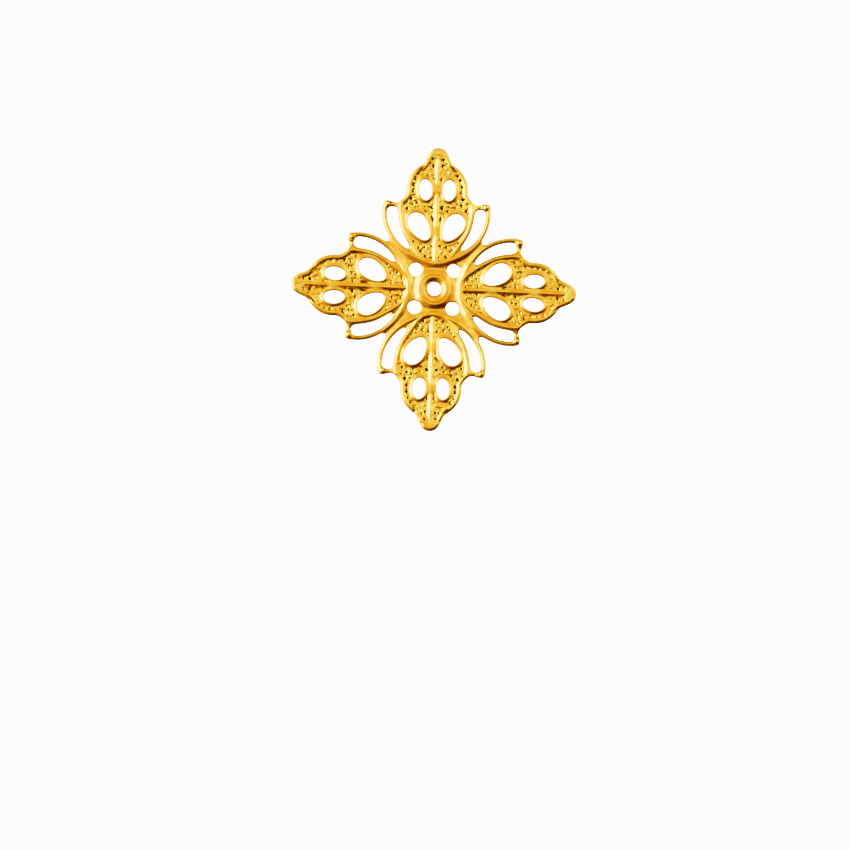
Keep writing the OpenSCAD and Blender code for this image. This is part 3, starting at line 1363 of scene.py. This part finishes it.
sheet_mesh = bpy.data.meshes.new("stamped_sheet")
sheet_mesh.from_pydata((corners * MM).tolist(), [], faces)
sheet_mesh.polygons.foreach_set("use_smooth", np.ones(len(faces), bool))
at_lip = np.abs(np.hypot(*corners[:, :2].T) - LIP_R) < LIP_MARGIN
lip = at_lip & (corners[:, 2] > HOLLOW_TOP)
ends = np.empty(2 * len(sheet_mesh.edges), np.int32)
sheet_mesh.edges.foreach_get("vertices", ends)
sheet_mesh.edges.foreach_set("use_edge_sharp", lip[ends.reshape(-1, 2)].all(1))
sheet_mesh.update()
sheet = link("stamped_sheet", sheet_mesh)

edge_faces = Counter((min(s), max(s)) for f in faces for s in zip(f, f[1:] + f[:1]))
open_edges = sum(count != 2 for count in edge_faces.values())
triangle_count = sum(len(f) - 2 for f in faces)
print("sheet:", len(corners), "points,", triangle_count, "triangles,", open_edges, "open edges")

# %% [markdown]
# ## The finish
#
# Bright gold plate is a metal shader with a strong yellow tint and a fairly low
# roughness. Three things keep it from looking like plastic: the colour drifts in soft
# patches from yellow to a deeper orange, the surface has a fine orange-peel left by the
# die and the polishing, and a painted shade of dark brown lies in the pits and on the
# tops and walls of the cut edges, where shade falls. How dark each point is was
# worked out with the grain, and is stored on the mesh.

# %% Painted shade on the mesh
painted_shade = sheet_mesh.attributes.new("painted_shade", "FLOAT", "POINT")
painted_shade.data.foreach_set("value", np.clip(pits, 0, 1).astype(np.float32))
print("points with tarnish:", int((pits > 0).sum()))

# %% Colour of the plate
PLATE_COLOR = (1.0, 0.69, 0.15, 1)
PLATE_WARM = (0.98, 0.50, 0.05, 1)
# Colour of the painted shade in the pits and on the cut edges.
PAINTED_SHADE_COLOR = (0.09, 0.010, 0.002, 1)

# Scales count features in a metre, and detail counts the finer layers on top of them.
DRIFT_SCALE, DRIFT_DETAIL = 850.0, 3.0
DRIFT_FROM, DRIFT_TO = 0.36, 0.64

gold = bpy.data.materials.new("gold plate")
gold.use_nodes = True
nodes = gold.node_tree.nodes
links = gold.node_tree.links
plate = dial(nodes["Principled BSDF"], {"Metallic": 1.0})
place = nodes.new("ShaderNodeTexCoord")


def noise(scale, detail):
    """A noise texture on the object's own coordinates."""
    made = dial(nodes.new("ShaderNodeTexNoise"), {"Scale": scale, "Detail": detail})
    links.new(place.outputs["Object"], made.inputs["Vector"])
    return made


drift = noise(DRIFT_SCALE, DRIFT_DETAIL)
patches = dial(nodes.new("ShaderNodeMapRange"), {"From Min": DRIFT_FROM, "From Max": DRIFT_TO})
links.new(drift.outputs["Fac"], patches.inputs["Value"])
plate_color = mixed(gold.node_tree, patches.outputs["Result"], PLATE_COLOR, PLATE_WARM)
# The painted shade stored on the mesh darkens the plate's colour.
stored = nodes.new("ShaderNodeAttribute")
stored.attribute_name = painted_shade.name
plate_color = mixed(gold.node_tree, stored.outputs["Fac"], plate_color, PAINTED_SHADE_COLOR)
links.new(plate_color, plate.inputs["Base Color"])
print("plate's own colour:", PLATE_COLOR[:3])

# %% Roughness and orange-peel
ROUGH_LOW, ROUGH_HIGH = 0.14, 0.22
PEEL_SCALE, PEEL_DETAIL = 5200.0, 2.0
PEEL_DEPTH = 0.0022 * MM

roughness = dial(nodes.new("ShaderNodeMapRange"), {"To Min": ROUGH_LOW, "To Max": ROUGH_HIGH})
links.new(drift.outputs["Fac"], roughness.inputs["Value"])
links.new(roughness.outputs["Result"], plate.inputs["Roughness"])

peel = noise(PEEL_SCALE, PEEL_DETAIL)
bump = dial(nodes.new("ShaderNodeBump"), {"Distance": PEEL_DEPTH})
links.new(peel.outputs["Fac"], bump.inputs["Height"])
links.new(bump.outputs["Normal"], plate.inputs["Normal"])
sheet_mesh.materials.append(gold)
print("finish:", gold.name)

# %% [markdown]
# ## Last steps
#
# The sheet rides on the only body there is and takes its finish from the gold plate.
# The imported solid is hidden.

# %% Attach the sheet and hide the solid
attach(sheet, "root")
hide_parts("stamping")
